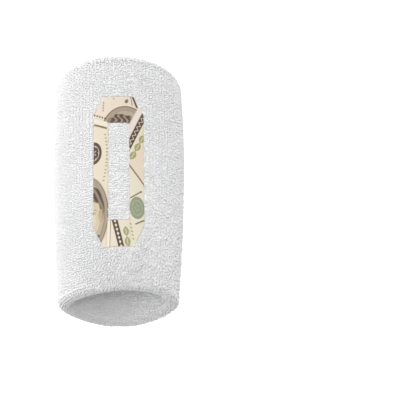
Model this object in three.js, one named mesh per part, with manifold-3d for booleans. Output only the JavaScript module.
// Long terry sweat wristband lying on its side, millimetres, +Z up.
// The tube runs along Y; the narrower, slightly sagged opening is at -Y.
import * as THREE from 'three';
import Module from 'manifold-3d';

const wasm = await Module();
wasm.setup();

// Overall cloth sizes
const LENGTH = 103.2;
const WALL = 5.8;
const HALF_WALL = WALL / 2;
const PLY = 1.7;
const GAP = 0.3;
const END_Y = LENGTH / 2 - HALF_WALL;

// Half width and half height of the wall's middle surface at the near end, the middle and the far end
const HALF_WIDTHS = [21.8, 24.8, 25.1];
const HALF_HEIGHTS = [19.0, 22.4, 25.1];
const FLOOR_SAG = 0.6;
const LIP_SKEW = 3.5;
const LIP_PINCH = 0.24;
const LIP_PINCH_POWER = 1.1;
const LIP_REACH = 38;

// Radius of the plain ring that is bent on to the wall, the angle step used to find a normal,
// and the distance under which two vertices are one
const BASE = 100;
const NORMAL_STEP = 1e-4;
const SAME_POINT = 1e-4;

// How finely the tube is divided
const AROUND = 56;
const NUMERAL_AROUND = 112;
const ALONG = 7;
const NUMERAL_ALONG = 8;
const HEM_STEPS = 6;

// Elastic yarn laid in between the two plies
const ELASTIC_SIDE = 0.4;
const ELASTIC_OFFSET = 0.5;
const ELASTIC_TURNS = 7;
const ELASTIC_STEPS_PER_TURN = 28;
const ELASTIC_END_Y = END_Y - 4;

// Linking seam that closes the inner ply, beyond the middle of the bore
const SEAM_Y = 7;
const SEAM_SIDE = 0.5;
const SEAM_OFFSET = -(HALF_WALL + GAP + SEAM_SIDE);
const SEAM_WAVES = 26;
const SEAM_WAVE_HEIGHT = 1.1;
const SEAM_SPACING = 2.8;
const SEAM_STEPS_PER_WAVE = 6;
const SEAM_CLOSURE = 0.985;

// Block numeral, measured flat from above
const NUMERAL_HALF_WIDTH = 10.3;
const NUMERAL_NEAR_Y = -34.8;
const NUMERAL_FAR_Y = 31.1;
const NUMERAL_STROKE = 6.0;
const NUMERAL_NEAR_BAR = 11.2;
const NUMERAL_FAR_BAR = 12.2;
const NUMERAL_CHAMFER_X = 4.1;
const NUMERAL_NEAR_CHAMFER_Y = 9.6;
const NUMERAL_FAR_CHAMFER_Y = 7.8;
const NUMERAL_MARGIN = 2;
const ADHESIVE_THICKNESS = 0.25;
const FILM_THICKNESS = 0.3;

// Value at station q, from -1 to 1, of the parabola through three values
function throughThree(values, q) {
  const slope = (values[2] - values[0]) / 2;
  const bend = (values[2] + values[0]) / 2 - values[1];
  return values[1] + slope * q + bend * q * q;
}

// Point of the wall's middle surface at angle t round the tube, in the plane across it at y
function middle(t, y) {
  const q = THREE.MathUtils.clamp(y / END_Y, -1, 1);
  const halfWidth = throughThree(HALF_WIDTHS, q);
  const halfHeight = throughThree(HALF_HEIGHTS, q);
  const near = THREE.MathUtils.smoothstep(-y, END_Y - LIP_REACH, END_Y);
  const skew = LIP_SKEW * near * Math.cos(t) * Math.max(0, Math.sin(t));
  const centre = halfHeight + HALF_WALL - FLOOR_SAG;
  const z = centre + halfHeight * Math.sin(t) + skew;
  const pinch = LIP_PINCH * near * Math.max(0, -Math.sin(t)) ** LIP_PINCH_POWER;
  return new THREE.Vector2(halfWidth * Math.cos(t) * (1 - pinch), Math.max(z, HALF_WALL));
}

// Point at a distance outside the middle surface, along the section's own normal
function onWall(t, y, offset) {
  const step = NORMAL_STEP;
  const tangent = middle(t + step, y).sub(middle(t - step, y));
  const normal = new THREE.Vector2(tangent.y, -tangent.x).normalize();
  const point = middle(t, y).addScaledVector(normal, offset);
  return new THREE.Vector3(point.x, y, point.y);
}

// A round lathe ring about Y whose radius is BASE plus the offset, bent on to the real section
function drape(geometry) {
  const place = geometry.getAttribute('position');
  for (let i = 0; i < place.count; i += 1) {
    const radius = Math.hypot(place.getX(i), place.getZ(i));
    const t = Math.atan2(place.getZ(i), place.getX(i));
    const point = onWall(t, place.getY(i), radius - BASE);
    place.setXYZ(i, point.x, point.y, point.z);
  }
  return geometry;
}

// Closed geometry with shared vertices, wound so that its faces point out
function solid(geometry) {
  geometry.deleteAttribute('normal');
  geometry.deleteAttribute('uv');
  const place = geometry.getAttribute('position');
  const found = new Map();
  const points = [];
  const renumbered = [];
  for (let i = 0; i < place.count; i += 1) {
    const xyz = [place.getX(i), place.getY(i), place.getZ(i)];
    const key = xyz.map((v) => Math.round(v / SAME_POINT)).join(' ');
    if (!found.has(key)) {
      found.set(key, points.length / 3);
      points.push(...xyz);
    }
    renumbered.push(found.get(key));
  }
  const order = geometry.index ? Array.from(geometry.index.array) : renumbered.map((_, i) => i);
  const faces = [];
  let volume = 0;
  for (let i = 0; i < order.length; i += 3) {
    const [a, b, c] = [renumbered[order[i]], renumbered[order[i + 1]], renumbered[order[i + 2]]];
    if (a === b || b === c || a === c) continue;
    faces.push(a, b, c);
    const corner = (n) => new THREE.Vector3().fromArray(points, n * 3);
    volume += corner(a).dot(corner(b).cross(corner(c)));
  }
  if (volume < 0) faces.reverse();
  const closed = new THREE.BufferGeometry();
  closed.setAttribute('position', new THREE.Float32BufferAttribute(points, 3));
  closed.setIndex(faces);
  return closed;
}

// Profile of one straight ply between two offsets
function plyProfile(inner, outer, yEnd, steps, yStart = -yEnd) {
  const profile = [];
  for (let i = 0; i <= steps; i += 1) {
    const y = THREE.MathUtils.lerp(yStart, yEnd, i / steps);
    profile.push(new THREE.Vector2(BASE + outer, y));
  }
  for (let i = steps; i >= 0; i -= 1) {
    const y = THREE.MathUtils.lerp(yStart, yEnd, i / steps);
    profile.push(new THREE.Vector2(BASE + inner, y));
  }
  profile.push(profile[0].clone());
  return profile;
}

// Profile of the cloth turned back on itself at one end; side is -1 near, +1 far
function hemProfile(side) {
  const start = END_Y * side;
  const profile = [];
  for (let i = 0; i <= HEM_STEPS; i += 1) {
    const a = Math.PI * i / HEM_STEPS;
    profile.push(new THREE.Vector2(BASE + HALF_WALL * Math.cos(a), start + side * HALF_WALL * Math.sin(a)));
  }
  const bore = HALF_WALL - PLY;
  for (let i = HEM_STEPS; i >= 0; i -= 1) {
    const a = Math.PI * i / HEM_STEPS;
    profile.push(new THREE.Vector2(BASE + bore * Math.cos(a), start + side * bore * Math.sin(a)));
  }
  profile.push(profile[0].clone());
  return profile;
}

function ring(profile, around) {
  return solid(drape(new THREE.LatheGeometry(profile, around)));
}

// Small square yarn swept along a curve on the wall
class YarnPath extends THREE.Curve {
  constructor(place) {
    super();
    this.place = place;
  }

  getPoint(u, target = new THREE.Vector3()) {
    return target.copy(this.place(u));
  }
}

function yarn(side, steps, place) {
  const half = side / 2;
  const section = new THREE.Shape();
  section.moveTo(-half, -half);
  section.lineTo(half, -half);
  section.lineTo(half, half);
  section.lineTo(-half, half);
  section.closePath();
  const settings = { steps, bevelEnabled: false, extrudePath: new YarnPath(place) };
  return solid(new THREE.ExtrudeGeometry(section, settings));
}

function elasticYarn(offset, phase) {
  const turn = Math.PI * 2;
  return yarn(ELASTIC_SIDE, ELASTIC_TURNS * ELASTIC_STEPS_PER_TURN, (u) => {
    const y = THREE.MathUtils.lerp(-ELASTIC_END_Y, ELASTIC_END_Y, u);
    return onWall(phase + turn * ELASTIC_TURNS * u, y, offset);
  });
}

function seamThread(y, waveHeight, steps) {
  const turn = Math.PI * 2 * SEAM_CLOSURE;
  return yarn(SEAM_SIDE, steps, (u) => {
    const swing = waveHeight * Math.sin(Math.PI * 2 * SEAM_WAVES * u);
    return onWall(-Math.PI / 2 + turn * u, y + swing, SEAM_OFFSET);
  });
}

// Block figure: an upright slot with cut corners and a plain oblong window
function numeralPrism() {
  const w = NUMERAL_HALF_WIDTH;
  const shape = new THREE.Shape();
  shape.moveTo(-w, NUMERAL_NEAR_Y + NUMERAL_NEAR_CHAMFER_Y);
  shape.lineTo(-w + NUMERAL_CHAMFER_X, NUMERAL_NEAR_Y);
  shape.lineTo(w - NUMERAL_CHAMFER_X, NUMERAL_NEAR_Y);
  shape.lineTo(w, NUMERAL_NEAR_Y + NUMERAL_NEAR_CHAMFER_Y);
  shape.lineTo(w, NUMERAL_FAR_Y - NUMERAL_FAR_CHAMFER_Y);
  shape.lineTo(w - NUMERAL_CHAMFER_X, NUMERAL_FAR_Y);
  shape.lineTo(-w + NUMERAL_CHAMFER_X, NUMERAL_FAR_Y);
  shape.lineTo(-w, NUMERAL_FAR_Y - NUMERAL_FAR_CHAMFER_Y);
  shape.closePath();
  const opening = new THREE.Path();
  opening.moveTo(-w + NUMERAL_STROKE, NUMERAL_NEAR_Y + NUMERAL_NEAR_BAR);
  opening.lineTo(-w + NUMERAL_STROKE, NUMERAL_FAR_Y - NUMERAL_FAR_BAR);
  opening.lineTo(w - NUMERAL_STROKE, NUMERAL_FAR_Y - NUMERAL_FAR_BAR);
  opening.lineTo(w - NUMERAL_STROKE, NUMERAL_NEAR_Y + NUMERAL_NEAR_BAR);
  opening.closePath();
  shape.holes.push(opening);
  const prism = new THREE.ExtrudeGeometry(shape, { depth: LENGTH, bevelEnabled: false });
  prism.translate(0, 0, HALF_HEIGHTS[0]);
  return solid(prism);
}

function toManifold(geometry) {
  const triVerts = Uint32Array.from(geometry.index.array);
  const vertProperties = Float32Array.from(geometry.getAttribute('position').array);
  return new wasm.Manifold(new wasm.Mesh({ numProp: 3, triVerts, vertProperties }));
}

function fromManifold(body) {
  const mesh = body.getMesh();
  const geometry = new THREE.BufferGeometry();
  geometry.setAttribute('position', new THREE.Float32BufferAttribute(mesh.vertProperties, 3));
  geometry.setIndex(Array.from(mesh.triVerts));
  return solid(geometry);
}

// Thin curved sheet cut to the numeral's outline
function numeralSheet(inner, thickness) {
  const profile = plyProfile(
    inner,
    inner + thickness,
    NUMERAL_FAR_Y + NUMERAL_MARGIN,
    NUMERAL_ALONG,
    NUMERAL_NEAR_Y - NUMERAL_MARGIN,
  );
  const sheet = toManifold(ring(profile, NUMERAL_AROUND));
  return fromManifold(sheet.intersect(toManifold(numeralPrism())));
}

const band = new THREE.Group();
band.name = 'sweat_wristband';

function add(name, geometry, color, roughness) {
  const material = new THREE.MeshStandardMaterial({ color, roughness, metalness: 0 });
  geometry.computeVertexNormals();
  const mesh = new THREE.Mesh(geometry, material);
  mesh.name = name;
  band.add(mesh);
}

const plyEnd = END_Y - GAP;
const adhesiveOffset = HALF_WALL + GAP;
const filmOffset = adhesiveOffset + ADHESIVE_THICKNESS + GAP;
const outerPly = plyProfile(HALF_WALL - PLY, HALF_WALL, plyEnd, ALONG);
const innerPly = plyProfile(-HALF_WALL, PLY - HALF_WALL, plyEnd, ALONG);
const needleThread = seamThread(SEAM_Y, SEAM_WAVE_HEIGHT, SEAM_WAVES * SEAM_STEPS_PER_WAVE);
const looperThread = seamThread(SEAM_Y + SEAM_SPACING, 0, AROUND);

add('outer_terry_ply', ring(outerPly, AROUND), 0xf4f3f0, 0.95);
add('inner_terry_ply', ring(innerPly, AROUND), 0xeeedea, 0.95);
add('near_hem_fold', ring(hemProfile(-1), AROUND), 0xf6f5f2, 0.95);
add('far_hem_fold', ring(hemProfile(1), AROUND), 0xf6f5f2, 0.95);
add('outer_elastic_yarn', elasticYarn(ELASTIC_OFFSET, 0), 0xe3ddcf, 0.6);
add('inner_elastic_yarn', elasticYarn(-ELASTIC_OFFSET, Math.PI), 0xe3ddcf, 0.6);
add('seam_needle_thread', needleThread, 0xfafafa, 0.7);
add('seam_looper_thread', looperThread, 0xfafafa, 0.7);
add('numeral_adhesive', numeralSheet(adhesiveOffset, ADHESIVE_THICKNESS), 0xe9e6dc, 0.5);
add('numeral_film', numeralSheet(filmOffset, FILM_THICKNESS), 0xcabf9f, 0.55);

export default band;
